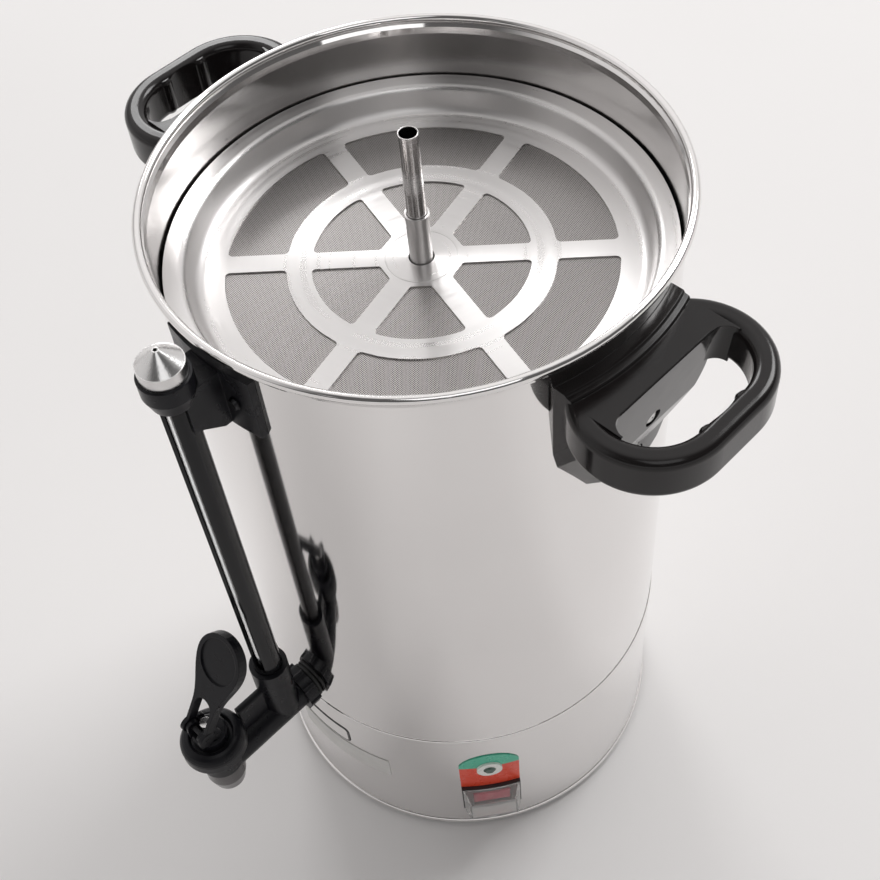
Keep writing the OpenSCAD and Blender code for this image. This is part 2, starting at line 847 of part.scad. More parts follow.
module gauge_cap() {
    color("gainsboro") translate([0, gauge_y, 0]) difference() {
        union() {
            translate([0, 0, cap_low + touch]) cylinder(r = cap_r, h = cap_side);
            translate([0, 0, cap_low + cap_side]) cylinder(r1 = cap_r - 0.3, r2 = 1.6, h = cap_cone);
        }
        translate([0, 0, cap_low - 1]) cylinder(r = glass_r + 0.6, h = cap_side - 1);
        translate([0, 0, cap_low]) cylinder(r = 1, h = 40);
    }
}

// a tube open along its front
module gauge_guard() {
    color([0.1, 0.1, 0.1]) translate([0, gauge_y, 0]) difference() {
        ring(guard_r - guard_t, guard_r, guard_low + touch, guard_top);
        translate([0, 0, socket_top + 2]) linear_extrude(collar_low - socket_top - 4)
            polygon([[0, 0], [-30 * sin(slot_a), -30 * cos(slot_a)],
                [0, -40], [30 * sin(slot_a), -30 * cos(slot_a)]]);
    }
}

module gauge_glass() {
    color([0.8, 0.9, 0.95, 0.5]) translate([0, gauge_y, 0])
        ring(glass_r - glass_t, glass_r, glass_low + touch, glass_top);
}

module gauge_seals() {
    color("orangered") translate([0, gauge_y, 0]) {
        ring(glass_r + touch / 2, glass_r + 0.4 - touch / 2, glass_low + 1, glass_low + 4);
        ring(glass_r + touch / 2, glass_r + 0.4 - touch / 2, cap_low - 6, cap_low - 3);
    }
}

// -------------------------------------------------------------------- tap

module tap_body() {
    color([0.07, 0.07, 0.09]) difference() {
        union() {
            // shank through the wall, shoulder and arm
            translate([0, 0, arm_z]) {
                bar_y(shank_r, -(tank_in - shank_in), tap_y);
                bar_y(shoulder_r, -(tank_r + washer_t + 0.2), -(tank_r + washer_t + shoulder_t));
                bar_y(arm_r, -(tank_r + washer_t + 1), tap_y);
            }
            // gauge socket
            translate([0, gauge_y, arm_z]) cylinder(r = socket_r, h = socket_top - arm_z);
            // rib on the arm between the bonnet and the socket
            translate([0, gauge_y, arm_z]) rotate([90, 0, 0])
                linear_extrude(gauge_y - tap_y - bonnet_r - free) {
                    translate([-rib_t / 2, 0]) square([rib_t, rib_h - rib_t / 2]);
                    translate([0, rib_h - rib_t / 2]) circle(rib_t / 2);
                }
            // valve body, narrower where the spout's sleeve fits round it
            translate([0, tap_y, arm_z]) cylinder(r = valve_out, h = body_top - arm_z);
            translate([0, tap_y, body_low]) cylinder(r = valve_low_r, h = arm_z - body_low + 1);
        }
        translate([0, 0, arm_z]) bar_y(arm_bore, 0, tap_y);
        translate([0, gauge_y, arm_z]) cylinder(r = glass_r - glass_t, h = 80);
        translate([0, gauge_y, glass_low]) cylinder(r = glass_r + 0.4, h = 80);
        translate([0, gauge_y, guard_low]) cylinder(r = guard_r + touch, h = 80);
        translate([0, tap_y, 0]) {
            translate([0, 0, seat_z]) cylinder(r = chamber_r, h = 80);
            translate([0, 0, body_low - 1]) cylinder(r = seat_hole, h = 40);
        }
    }
}

module tap_union_nut() {
    color([0.06, 0.06, 0.08]) translate([0, 0, arm_z]) difference() {
        union() {
            bar_y(nut_r, nut_back, nut_front);
            for (i = [0 : 7]) rotate([0, i * 45, 0]) translate([nut_r - 0.6, 0, 0])
                bar_y(1.6, nut_back, nut_front);
        }
        bar_y(shoulder_r + touch, 0, -(tank_r + washer_t + shoulder_t + touch));
        bar_y(arm_r + touch, 0, gauge_y);
    }
}

module tap_washers() {
    color("whitesmoke") translate([0, 0, arm_z]) {
        difference() {
            bar_y(shoulder_r - 0.2, -tank_r + 3, -(tank_r + washer_t));
            bar_y(shank_r + touch, 0, -200);
            translate([0, 0, -60]) cylinder(r = tank_r + touch, h = 120);
        }
        difference() {
            intersection() {
                bar_y(shoulder_r, -(tank_in - 5), -(tank_in + 1));
                translate([0, 0, -60]) cylinder(r = tank_in - touch, h = 120);
            }
            bar_y(shank_r + touch, 0, -200);
        }
    }
}

module tap_back_nut() {
    color("silver") translate([0, -(tank_in - 5 - touch), arm_z]) rotate([-90, 0, 0])
        difference() {
            cylinder(r = 15.5, h = 6, $fn = 6);
            translate([0, 0, -1]) cylinder(r = shank_r + touch, h = 8);
        }
}

module tap_bonnet() {
    color([0.09, 0.09, 0.1]) translate([0, tap_y, 0]) difference() {
        union() {
            rotate_extrude() polygon(concat(
                [[0, body_top + touch], [bonnet_r - 2, body_top + touch],
                 [bonnet_r, body_top + 3], [bonnet_r, body_top + bonnet_h - 8]],
                [for (a = [0 : 15 : 75]) [bonnet_r - 7 + 7 * cos(a),
                    bonnet_top - 8 + 7 * sin(a)]],
                // a moat runs round the hub
                [[bonnet_r - 6.2, bonnet_top - 1.4], [bonnet_r - 7.2, bonnet_top - 4.5],
                 [hub_r, bonnet_top - 4.5], [hub_r, hub_top - 1.2],
                 [hub_r - 1.2, hub_top], [0, hub_top]]));
            // spigot that screws into the valve body
            translate([0, 0, body_top - 6]) cylinder(r = chamber_r - touch, h = 8);
            // ears for the lever's pin
            for (s = [-1, 1]) intersection() {
                translate([s * (ear_in + ear_t / 2) - ear_t / 2, pin_y - tap_y, 0])
                    translate([0, 0, pin_z]) rotate([0, 90, 0]) cylinder(r = 40, h = ear_t);
                union() {
                    translate([-20, pin_y - tap_y, pin_z]) rotate([0, 90, 0])
                        cylinder(r = ear_r, h = 40);
                    translate([-20, pin_y - tap_y - ear_r, hub_top - 4])
                        cube([40, 2 * ear_r, pin_z - hub_top + 4]);
                }
            }
        }
        translate([0, 0, body_top - 10]) cylinder(r = stem_r + run, h = 60);
        // spring pocket
        translate([0, 0, body_top - 7]) cylinder(r = 7.2, h = 14);
        translate([-20, pin_y - tap_y, pin_z]) rotate([0, 90, 0])
            cylinder(r = pin_r + touch, h = 40);
    }
}

module tap_stem() {
    head_low = hub_top + 1;
    color("silver") translate([0, tap_y, 0]) difference() {
        union() {
            translate([0, 0, seat_z + 5]) cylinder(r = stem_r, h = stem_top - seat_z - 5);
            translate([0, 0, head_low]) cylinder(r = stem_head_r, h = stem_top - head_low);
            translate([0, 0, seat_z + 9]) cylinder(r = 5, h = 1.5);
        }
        // slot for the lifting pin
        translate([-10, 0, 0]) rotate([90, 0, 90]) linear_extrude(20)
            translate([0.2, lift_pin_z]) soft_rect(2 * pin_r + 1.2, 2 * pin_r + 0.6, pin_r);
    }
}

module tap_seat_cup() {
    color("whitesmoke") translate([0, tap_y, 0]) difference() {
        union() {
            translate([0, 0, seat_z + touch]) cylinder(r1 = seat_hole + 1, r2 = 8.5, h = 3);
            translate([0, 0, seat_z + 3]) cylinder(r = 8.5, h = 2.5);
            translate([0, 0, seat_z + 5]) cylinder(r = 4.8, h = 3.9);
        }
        translate([0, 0, seat_z + 5 - touch]) cylinder(r = stem_r + touch / 2, h = 10);
    }
}

// a closed sleeve stands in for the coil's outer shape
module tap_spring() {
    color("silver") translate([0, tap_y, 0])
        ring(4.2, 6.4, seat_z + 9 + 1.5 + touch, body_top + 7 - touch);
}

// half width of the lever at the distance v from its pin
function lever_half(v) =
    let (root = cheek_out - 0.3, t = max(0, v - lever_neck) / (lever_len - lever_neck))
    v > lever_len ? sqrt(max(0, pad_r * pad_r - (v - lever_len) * (v - lever_len)))
    : root + (pad_r - root) * (1 - cos(180 * max(0, t - 0.25) / 0.75)) / 2;

module lever_outline() {
    side = [for (i = [0 : 20]) let (v = lever_neck + (lever_len + pad_r - lever_neck) * sin(4.5 * i))
        [lever_half(v), v]];
    polygon(concat([[lever_half(0), 0]], side,
        [for (i = [19 : -1 : 0]) [-side[i][0], side[i][1]]], [[-lever_half(0), 0]]));
}

module tap_lever() {
    color([0.09, 0.09, 0.1]) translate([0, pin_y, pin_z]) difference() {
        union() {
            rotate([90 - lever_lean, 0, 0]) translate([0, 0, -lever_t / 2])
                linear_extrude(lever_t) lever_outline();
            bar_x(knuckle_r, cheek_out);
            // cheeks reach to the lifting pin
            for (s = [0, 1]) mirror([s, 0, 0]) translate([cheek_in - 1, 0, 0])
                rotate([-lever_swing / 2, 0, 0]) {
                    translate([0, crank, 0]) rotate([0, 90, 0]) cylinder(r = 3.6, h = cheek_t + 0.7);
                    translate([0, 0, -3]) cube([cheek_t + 0.7, crank, 6]);
                }
        }
        // slot between the cheeks, with a round end
        rotate([90 - lever_lean, 0, 0]) translate([0, 0, -12]) linear_extrude(24) {
            translate([-cheek_in, -12]) square([2 * cheek_in, 30]);
            translate([0, 18]) circle(cheek_in);
        }
        bar_x(pin_r + run, 20);
        rotate([-lever_swing / 2, 0, 0]) translate([0, crank, 0]) bar_x(pin_r + touch / 2, 20);
        // shallow dish in the pad
        rotate([90 - lever_lean, 0, 0]) translate([0, lever_len, lever_t / 2 - 1])
            cylinder(r = pad_r - 3, h = 3);
    }
}

module lever_pin() {
    color("silver") translate([0, pin_y, pin_z]) bar_x(pin_r, cheek_out + 0.2);
}

module lift_pin() {
    color("silver") translate([0, pin_y, pin_z]) rotate([-lever_swing / 2, 0, 0])
        translate([0, crank, 0]) bar_x(pin_r, cheek_out);
}

// a tapered nozzle with a sleeve round the valve body, notched for the arm
module tap_spout() {
    low = body_low - spout_len;
    top = arm_z - touch;
    color("dimgray") translate([0, tap_y, 0]) difference() {
        union() {
            translate([0, 0, low]) cylinder(r1 = sleeve_r - 3, r2 = sleeve_r - 2.2, h = 1.2);
            translate([0, 0, low + 1.2])
                cylinder(r1 = sleeve_r - 2.2, r2 = sleeve_r, h = spout_len - 1.2);
            translate([0, 0, body_low]) cylinder(r = sleeve_r, h = top - 0.8 - body_low);
            translate([0, 0, top - 0.8]) cylinder(r1 = sleeve_r, r2 = sleeve_r - 0.8, h = 0.8);
        }
        translate([0, 0, low - 1]) cylinder(r = spout_bore_r, h = spout_len + 2);
        translate([0, 0, body_low - touch]) cylinder(r = valve_low_r + touch, h = top);
        translate([0, 0, arm_z]) bar_y(arm_r + touch, 0, 2 * sleeve_r);
    }
}

// ----------------------------------------------------------------- switch

module switch_frame() {
    color([0.1, 0.08, 0.08]) on_switch() difference() {
        union() {
            intersection() {
                translate([tank_r - 10, -switch_w / 2, switch_low])
                    cube([30, switch_w, switch_h]);
                off_wall(tank_r + frame_out, 0, 120);
            }
            translate([tank_r - body_d, -rocker_w / 2 - 1.3, switch_z - rocker_h / 2 - 1.3])
                cube([body_d + 1.5, rocker_w + 2.6, rocker_h + 2.6]);
        }
        translate([rocker_x - rocker_crown - 2, -rocker_w / 2, switch_z - rocker_h / 2])
            cube([60, rocker_w, rocker_h]);
        translate([rocker_x, 0, switch_z]) rotate([90, 0, 0])
            cylinder(r = pin_r + touch, h = rocker_w + 1.6, center = true);
    }
}

// two faces that meet at the middle, turned so that the lower half is pressed
module switch_rocker() {
    half = rocker_h / 2 - 1.6;
    color("crimson") on_switch() translate([rocker_x, 0, switch_z])
        rotate([0, rocker_tip / 2, 0])
            rotate([90, 0, 0]) linear_extrude(rocker_w - 2 * free, center = true) difference() {
                polygon([[-4, -half + 2], [5.6, -half], [7.2, -half + 0.8],
                    [4.6, 0], [7.2, half - 0.8], [5.6, half], [-4, half - 2]]);
                circle(pin_r + run);
            }
}

module rocker_pin() {
    color("silver") on_switch() translate([rocker_x, 0, switch_z]) rotate([90, 0, 0])
        cylinder(r = pin_r, h = rocker_w + 1.4, center = true);
}

module cover_block(shrink, out) {
    hull() {
        translate([-4, -switch_w / 2 + shrink, switch_low + shrink])
            cube([4, switch_w - 2 * shrink, switch_h - 2 * shrink]);
        translate([out - eps, -switch_w / 2 + shrink + 3, switch_low + shrink + 4])
            cube([eps, switch_w - 2 * shrink - 6, switch_h - 2 * shrink - 6]);
    }
}

// soft clear cap over the rocker, its back edge curved like the frame
module switch_cover() {
    out = cover_out - frame_out;
    color([0.95, 0.97, 1, 0.35]) on_switch() difference() {
        translate([tank_r + frame_out, 0, 0]) difference() {
            cover_block(0.8, out);
            translate([-1, 0, 0]) cover_block(2, out);
        }
        cylinder(r = tank_r + frame_out + touch, h = 2 * switch_top);
    }
}

// outline of the two-colour plate, unrolled, with an arched top
module plate_outline() {
    arch_r = (pow(switch_w / 2, 2) + pow(plate_arch, 2)) / (2 * plate_arch);
    top = switch_top + plate_side;
    translate([-switch_w / 2, switch_top + 0.3]) square([switch_w, plate_side - 0.3]);
    intersection() {
        translate([0, top + plate_arch - arch_r]) circle(arch_r);
        translate([-switch_w / 2, top - eps]) square([switch_w, 2 * plate_arch]);
    }
}

module indicator_plate() {
    color("tomato") on_switch() difference() {
        intersection() {
            off_wall(tank_r + plate_t, 0, seam_z);
            translate([tank_r - 10, 0, 0]) rotate([90, 0, 90]) linear_extrude(20) plate_outline();
        }
        translate([tank_r - 10, 0, lamp_z]) rotate([0, 90, 0]) cylinder(r = lamp_r + touch, h = 20);
    }
}

module lamp_ring() {
    color("ivory") on_switch() translate([0, 0, lamp_z]) difference() {
        union() {
            difference() {
                translate([tank_r - 3, 0, 0]) rotate([0, 90, 0]) cylinder(r = lamp_r, h = 5);
                translate([0, 0, -40]) cylinder(r = tank_r + touch, h = 80);
            }
            translate([tank_r - 18, 0, 0]) rotate([0, 90, 0]) cylinder(r = lamp_r - 2.4, h = 19);
        }
        translate([tank_r - 12, 0, 0]) rotate([0, 90, 0]) cylinder(r = 4 + touch, h = 40);
    }
}

module lamp_lens() {
    color([0.15, 0.2, 0.2]) on_switch() translate([tank_r - 11, 0, lamp_z])
        rotate([0, 90, 0]) {
            cylinder(r = 4, h = 13);
            translate([0, 0, 13]) cylinder(r1 = 4, r2 = 2.6, h = 1.2);
        }
}

// --------------------------------------------------------------- assembly

tank_shell();
tank_floor();
base_skirt();
base_pan();
pan_brackets();
base_screws();
foot_ring();
heater_plate();
heater_element();
thermostat();
thermal_cutout();
terminal_block();
power_inlet();
inlet_pins();
riser_tube();
riser_collar();
riser_foot();
pump_valve();
coffee_basket();
basket_mesh();
spreader_plate();
spreader_mesh();
handle_right();
handle_left();
handle_bosses();
handle_screws();
gauge_bracket();
gauge_studs();
gauge_cap();
gauge_guard();
gauge_glass();
gauge_seals();
tap_body();
tap_union_nut();
tap_washers();
tap_back_nut();
tap_bonnet();
tap_stem();
tap_seat_cup();
tap_spring();
tap_lever();
lever_pin();
lift_pin();
tap_spout();
switch_frame();
switch_rocker();
rocker_pin();
switch_cover();
indicator_plate();
lamp_ring();
lamp_lens();
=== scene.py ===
"""Looks of the coffee urn: camera, light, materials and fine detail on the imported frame.

Lengths are in metres. Azimuths and elevations are in degrees, seen from the urn.
"""

import json
import math

import bmesh
import bpy
from mathutils import Matrix, Vector
from mathutils.geometry import tessellate_polygon


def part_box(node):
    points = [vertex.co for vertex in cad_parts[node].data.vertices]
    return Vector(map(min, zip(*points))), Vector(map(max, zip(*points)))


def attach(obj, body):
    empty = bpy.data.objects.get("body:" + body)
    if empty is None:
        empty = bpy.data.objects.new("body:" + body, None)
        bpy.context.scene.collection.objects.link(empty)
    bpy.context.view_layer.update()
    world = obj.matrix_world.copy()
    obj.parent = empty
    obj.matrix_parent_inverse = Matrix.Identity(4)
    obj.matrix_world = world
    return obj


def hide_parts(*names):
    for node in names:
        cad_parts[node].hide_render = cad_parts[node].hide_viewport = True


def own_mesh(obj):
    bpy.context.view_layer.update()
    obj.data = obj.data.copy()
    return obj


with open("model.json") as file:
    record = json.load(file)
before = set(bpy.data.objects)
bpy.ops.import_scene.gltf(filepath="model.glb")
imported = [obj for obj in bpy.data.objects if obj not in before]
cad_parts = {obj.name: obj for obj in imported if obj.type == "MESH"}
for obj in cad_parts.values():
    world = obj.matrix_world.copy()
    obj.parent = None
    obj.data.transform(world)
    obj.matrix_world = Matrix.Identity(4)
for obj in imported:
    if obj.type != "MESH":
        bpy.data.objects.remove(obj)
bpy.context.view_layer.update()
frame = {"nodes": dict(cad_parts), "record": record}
NODES = frame["nodes"]

MM = 0.001
WALL_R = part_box("tank_shell")[1].x - 4.5 * MM      # outer radius of the wall, which the rim overhangs
SEAM_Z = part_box("tank_shell")[0].z - 0.6 * MM      # middle of the seam between the wall and the base
ARM_Z = 0.5 * (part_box("tap_union_nut")[0].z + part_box("tap_union_nut")[1].z)    # axis of the tap's arm


# ------------------------------------------------------------------ camera

# solved from the circles of the rim, the seam and the basket in the photo
CAMERA_AT = Vector((0.36589, -0.31527, 0.89102))
CAMERA_FORWARD = Vector((-0.46530, 0.39883, -0.79021)).normalized()
CAMERA_RIGHT = Vector((0.71447, 0.69622, -0.06931)).normalized()
SENSOR_WIDTH, LENS = 36.0, 54.155       # in millimetres
FARTHEST = 50.0


def add_camera():
    data = bpy.data.cameras.new("camera")
    data.sensor_width = SENSOR_WIDTH
    data.lens = LENS
    data.clip_end = FARTHEST
    camera = bpy.data.objects.new("camera", data)
    bpy.context.scene.collection.objects.link(camera)
    up = CAMERA_RIGHT.cross(CAMERA_FORWARD)
    turn = Matrix((CAMERA_RIGHT, up, -CAMERA_FORWARD)).transposed().to_4x4()
    camera.matrix_world = Matrix.Translation(CAMERA_AT) @ turn
    bpy.context.scene.camera = camera


# ------------------------------------------------------------ node helpers

def set_range(node, *numbers):
    """Fills in a Map Range node: the lowest and highest value taken, then what they become."""
    for key, number in zip(("From Min", "From Max", "To Min", "To Max"), numbers):
        node.inputs[key].default_value = number


def shaded(color, factor):
    return [c * factor for c in color]


class Shader:
    """A material's node tree with short calls for the few nodes used here."""

    ROUGH_LOW, ROUGH_HIGH = 0.8, 1.3      # how far a surface's roughness strays from its plain value

    def __init__(self, name):
        self.material = bpy.data.materials.new(name)
        self.material.use_nodes = True
        self.tree = self.material.node_tree
        self.bsdf = self.tree.nodes["Principled BSDF"]
        self.where = self.node("ShaderNodeTexCoord").outputs["Object"]

    def node(self, kind, **settings):
        made = self.tree.nodes.new(kind)
        for key, value in settings.items():
            setattr(made, key, value)
        return made

    def link(self, a, b):
        self.tree.links.new(a, b)

    def set(self, **sockets):
        """Sets numbers on the shader's own sockets, with _ for each space in their names."""
        for key, value in sockets.items():
            self.bsdf.inputs[key.replace("_", " ")].default_value = value

    def feed(self, **sockets):
        """Links nodes to the shader's sockets, named as in set."""
        for key, value in sockets.items():
            self.link(value, self.bsdf.inputs[key.replace("_", " ")])

    def scaled(self, scale):
        mapping = self.node("ShaderNodeMapping")
        mapping.inputs["Scale"].default_value = scale
        self.link(self.where, mapping.inputs["Vector"])
        return mapping.outputs["Vector"]

    def noise(self, scale, detail=3.0, vector=None):
        made = self.node("ShaderNodeTexNoise")
        made.inputs["Scale"].default_value = scale
        made.inputs["Detail"].default_value = detail
        self.link(vector or self.where, made.inputs["Vector"])
        return made.outputs["Fac"]

    def ranged(self, value, low, high, from_low=0.3, from_high=0.7):
        made = self.node("ShaderNodeMapRange")
        set_range(made, from_low, from_high, low, high)
        self.link(value, made.inputs["Value"])
        return made.outputs["Result"]

    def uneven(self, rough, scale, detail):
        """Roughness that a noise varies round its plain value."""
        return self.ranged(self.noise(scale, detail), rough * self.ROUGH_LOW, rough * self.ROUGH_HIGH)

    def mixed(self, factor, a, b):
        made = self.node("ShaderNodeMix", data_type="RGBA")
        made.inputs["A"].default_value = (*a, 1.0)
        made.inputs["B"].default_value = (*b, 1.0)
        self.link(factor, made.inputs["Factor"])
        return made.outputs["Result"]

    def bump(self, height, strength, distance, normal=None):
        made = self.node("ShaderNodeBump")
        made.inputs["Strength"].default_value = strength
        made.inputs["Distance"].default_value = distance
        self.link(height, made.inputs["Height"])
        if normal:
            self.link(normal, made.inputs["Normal"])
        return made.outputs["Normal"]

    def times(self, a, b):
        made = self.node("ShaderNodeMath", operation="MULTIPLY")
        for socket, value in zip(made.inputs, (a, b)):
            if isinstance(value, float):
                socket.default_value = value
            else:
                self.link(value, socket)
        return made.outputs["Value"]

    def radius(self):
        """Distance from the urn's axis."""
        flat = self.node("ShaderNodeVectorMath", operation="LENGTH")
        self.link(self.scaled((1.0, 1.0, 0.0)), flat.inputs[0])
        return flat.outputs["Value"]

    def turned(self):
        """Brush marks run round the urn's axis."""
        made = self.node("ShaderNodeTangent", direction_type="RADIAL", axis="Z")
        self.set(Anisotropic_Rotation=0.25)
        self.feed(Tangent=made.outputs["Tangent"])

    def soft_edges(self, radius):
        made = self.node("ShaderNodeBevel", samples=6)
        made.inputs["Radius"].default_value = radius
        return made.outputs["Normal"]


# --------------------------------------------------------------- materials

def sheet_steel(name, color, outer_rough, inner_rough, split_r, wave):
    """Polished sheet: nearly a mirror beyond the radius split_r, and a circular polish inside it, where a
    darker colour is painted shade.
    """
    split = (split_r - 0.4 * MM, split_r)
    s = Shader(name)
    s.set(Metallic=1.0, Anisotropic=0.55)
    s.turned()
    # painted shade: the inside of the shell, within split_r, is painted darker than the outside
    inner_shade = s.ranged(s.radius(), 1.0, 0.0, *split)
    smear = s.ranged(s.noise(9.0, 4.0), 0.0, 0.15)
    smear_and_inner_shade = s.node("ShaderNodeMath", operation="MAXIMUM")
    s.link(inner_shade, smear_and_inner_shade.inputs[0])
    s.link(smear, smear_and_inner_shade.inputs[1])
    # the colour darkens to 0.78 fully inside, where it is painted shade, and in random smears outside
    s.feed(Base_Color=s.mixed(smear_and_inner_shade.outputs["Value"], color, shaded(color, 0.78)))
    haze = s.noise(38.0, 5.0, s.scaled((1.0, 1.0, 0.25)))
    polish = s.ranged(s.radius(), inner_rough, outer_rough, *split)
    s.feed(Roughness=s.times(polish, s.ranged(haze, 0.75, 1.35)))
    s.feed(Normal=s.bump(s.noise(14.0, 1.0), wave, 0.4 * MM))
    return s.material


def turned_steel(name, color, rough, aniso=0.75, edge=0.3 * MM):
    """Pressed and turned sheet: its highlights fan out from the middle."""
    s = Shader(name)
    s.set(Metallic=1.0, Anisotropic=aniso)
    s.turned()
    lines = s.node("ShaderNodeTexNoise", noise_dimensions="1D")
    lines.inputs["Scale"].default_value = 240.0
    lines.inputs["Detail"].default_value = 1.0
    s.link(s.radius(), lines.inputs["W"])
    s.feed(Base_Color=s.mixed(s.noise(18.0, 4.0), shaded(color, 0.95), color))
    smear = s.times(s.ranged(lines.outputs["Fac"], 0.85, 1.2), s.ranged(s.noise(30.0, 4.0), 0.85, 1.15))
    s.feed(Roughness=s.times(smear, rough))
    if edge:
        s.feed(Normal=s.soft_edges(edge))
    return s.material


def cast_metal(name, color, rough, metallic=1.0):
    """Plain metal with soft edges and a fine grain."""
    s = Shader(name)
    s.set(Metallic=metallic)
    s.feed(Base_Color=s.mixed(s.noise(60.0, 5.0), shaded(color, 0.8), color))
    s.feed(Roughness=s.uneven(rough, 90.0, 4.0))
    s.feed(Normal=s.bump(s.noise(700.0, 3.0), 0.15, 0.3 * MM, s.soft_edges(0.3 * MM)))
    return s.material


def moulded(name, color, rough, grain=0.12, edge=0.8 * MM, gloss=0.5):
    """Moulded plastic: soft edges, a fine grain, and a little dust in its gloss."""
    dusty = [c * 1.25 + 0.002 for c in color]
    s = Shader(name)
    s.set(Specular_IOR_Level=gloss)
    s.feed(Base_Color=s.mixed(s.noise(35.0, 4.0), color, dusty))
    s.feed(Roughness=s.uneven(rough, 120.0, 5.0))
    s.feed(Normal=s.bump(s.noise(1500.0, 2.0), grain, 0.1 * MM, s.soft_edges(edge)))
    return s.material


def perforated(name, color):
    """Fine perforated sheet: a square grid of round holes, painted near black as the shade seen through
    them.
    """
    # painted shade: the near black of the holes stands for the shade seen through them
    holes_per_metre, hole_shade_color = 1150.0, (0.02, 0.02, 0.02)
    hole_rough, sheet_rough = 0.8, 0.3
    s = Shader(name)
    s.set(Metallic=1.0)
    cell = s.node("ShaderNodeTexVoronoi", voronoi_dimensions="2D", feature="F1")
    cell.inputs["Scale"].default_value = holes_per_metre
    cell.inputs["Randomness"].default_value = 0.0
    s.link(s.where, cell.inputs["Vector"])
    sheet = s.ranged(cell.outputs["Distance"], 0.0, 1.0, 0.30, 0.36)
    s.feed(Base_Color=s.mixed(sheet, hole_shade_color, color))
    s.feed(Roughness=s.ranged(sheet, hole_rough, sheet_rough, 0.0, 1.0))
    s.feed(Normal=s.bump(sheet, 0.5, 0.2 * MM))
    return s.material


def clear(name, color, rough, ior, transmission=1.0):
    """Glass or clear plastic, with a faint waviness."""
    s = Shader(name)
    s.set(IOR=ior, Transmission_Weight=transmission)
    s.feed(Base_Color=s.mixed(s.noise(60.0), color, shaded(color, 0.97)))
    s.feed(Roughness=s.uneven(rough, 80.0, 3.0))
    s.feed(Normal=s.bump(s.noise(40.0, 1.0), 0.1, 0.5 * MM))
    return s.material


def two_colour(name, border_z, above, below):
    """A printed plate whose colour changes at one height."""
    soft = 0.2 * MM
    s = Shader(name)
    split = s.node("ShaderNodeSeparateXYZ")
    s.link(s.where, split.inputs["Vector"])
    edge = s.ranged(split.outputs["Z"], 0.0, 1.0, border_z - soft, border_z + soft)
    s.feed(Base_Color=s.mixed(edge, below, above))
    s.feed(Roughness=s.ranged(s.noise(90.0, 4.0), 0.22, 0.34))
    s.feed(Normal=s.bump(s.noise(900.0, 2.0), 0.05, 0.1 * MM, s.soft_edges(0.4 * MM)))
    return s.material


STEEL = (0.86, 0.842, 0.834)
INDICATOR_BORDER_Z = 92.5 * MM
INDICATOR_GREEN, INDICATOR_RED = (0.07, 0.50, 0.33), (0.80, 0.07, 0.03)


def make_materials():
    """Each look by its name. Most of them bear the name of the record's slot that they dress."""
    return {
        "mirror_steel": sheet_steel("mirror_steel", STEEL, 0.06, 0.15, WALL_R - 0.4 * MM, 0.12),
        "satin_steel": turned_steel("satin_steel", (0.80, 0.782, 0.775), 0.16),
        "pressed_steel": turned_steel("pressed_steel", (0.70, 0.684, 0.678), 0.32, 0.85, 0.0),
        "polished_steel": cast_metal("polished_steel", (0.72, 0.705, 0.70), 0.1),
        "bare_label": cast_metal("bare_label", (0.72, 0.71, 0.69), 0.45, 0.25),
        "cap_steel": cast_metal("cap_steel", (0.80, 0.79, 0.785), 0.24),
        "mesh_steel": perforated("mesh_steel", (0.45, 0.43, 0.42)),
        "plated_sheet": cast_metal("plated_sheet", (0.72, 0.72, 0.71), 0.42),
        "dark_steel": cast_metal("dark_steel", (0.035, 0.035, 0.037), 0.42),
        "cast_aluminium": cast_metal("cast_aluminium", (0.58, 0.58, 0.59), 0.45),
        "element_sheath": cast_metal("element_sheath", (0.3, 0.28, 0.26), 0.4),
        "handle_black": moulded("handle_black", (0.008, 0.0065, 0.0065), 0.15, 0.04, 0.4 * MM, 0.36),
        "tap_black": moulded("tap_black", (0.006, 0.006, 0.008), 0.30, 0.15, 0.6 * MM, 0.2),
        "guard_black": moulded("guard_black", (0.006, 0.006, 0.007), 0.16, 0.03, 0.3 * MM, 0.2),
        "gauge_glass": clear("gauge_glass", (0.97, 0.985, 0.985), 0.02, 1.47),
        "seal_silicone": moulded("seal_silicone", (0.5, 0.08, 0.03), 0.45),
        "seal_white": moulded("seal_white", (0.72, 0.70, 0.66), 0.5),
        "spout_steel": cast_metal("spout_steel", (0.15, 0.145, 0.145), 0.22),
        "switch_black": moulded("switch_black", (0.02, 0.018, 0.019), 0.35),
        "rocker_red": moulded("rocker_red", (0.70, 0.03, 0.09), 0.25, 0.05, 0.6 * MM),
        "clear_cover": clear("clear_cover", (0.96, 0.96, 0.95), 0.05, 1.35, 0.86),
        "indicator_plate": two_colour(
            "indicator_plate", INDICATOR_BORDER_Z, INDICATOR_GREEN, INDICATOR_RED),
        "lamp_white": moulded("lamp_white", (0.75, 0.76, 0.72), 0.3),
        "lamp_lens": moulded("lamp_lens", (0.05, 0.09, 0.07), 0.12, 0.02, 0.4 * MM),
        "foot_rubber": moulded("foot_rubber", (0.012, 0.012, 0.012), 0.6),
        "phenolic_brown": moulded("phenolic_brown", (0.12, 0.05, 0.02), 0.5),
        "ceramic_white": moulded("ceramic_white", (0.72, 0.70, 0.62), 0.5),
        "pin_brass": cast_metal("pin_brass", (0.65, 0.45, 0.16), 0.3),
    }


# nodes whose look differs from that of their slot
SPECIAL_LOOKS = {
    "gauge_cap": "cap_steel",
    "coffee_basket": "pressed_steel",
    "tank_floor": "pressed_steel",
    "riser_tube": "polished_steel",
    "lever_pin": "dark_steel",
    "lift_pin": "dark_steel",
}


def dress_nodes(materials):
    for part in frame["record"]["subparts"]:
        mesh = NODES[part["node"]].data
        mesh.materials.clear()
        mesh.materials.append(materials[SPECIAL_LOOKS.get(part["node"], part["material_slot"])])


# ------------------------------------------------------------ mesh helpers

WELD = 1e-6             # points closer than this become one
POLE_R = 0.0002 * MM    # radius of a section's end on the axis, small enough to weld
SHARP = 32.0            # edges that bend further than this stay sharp


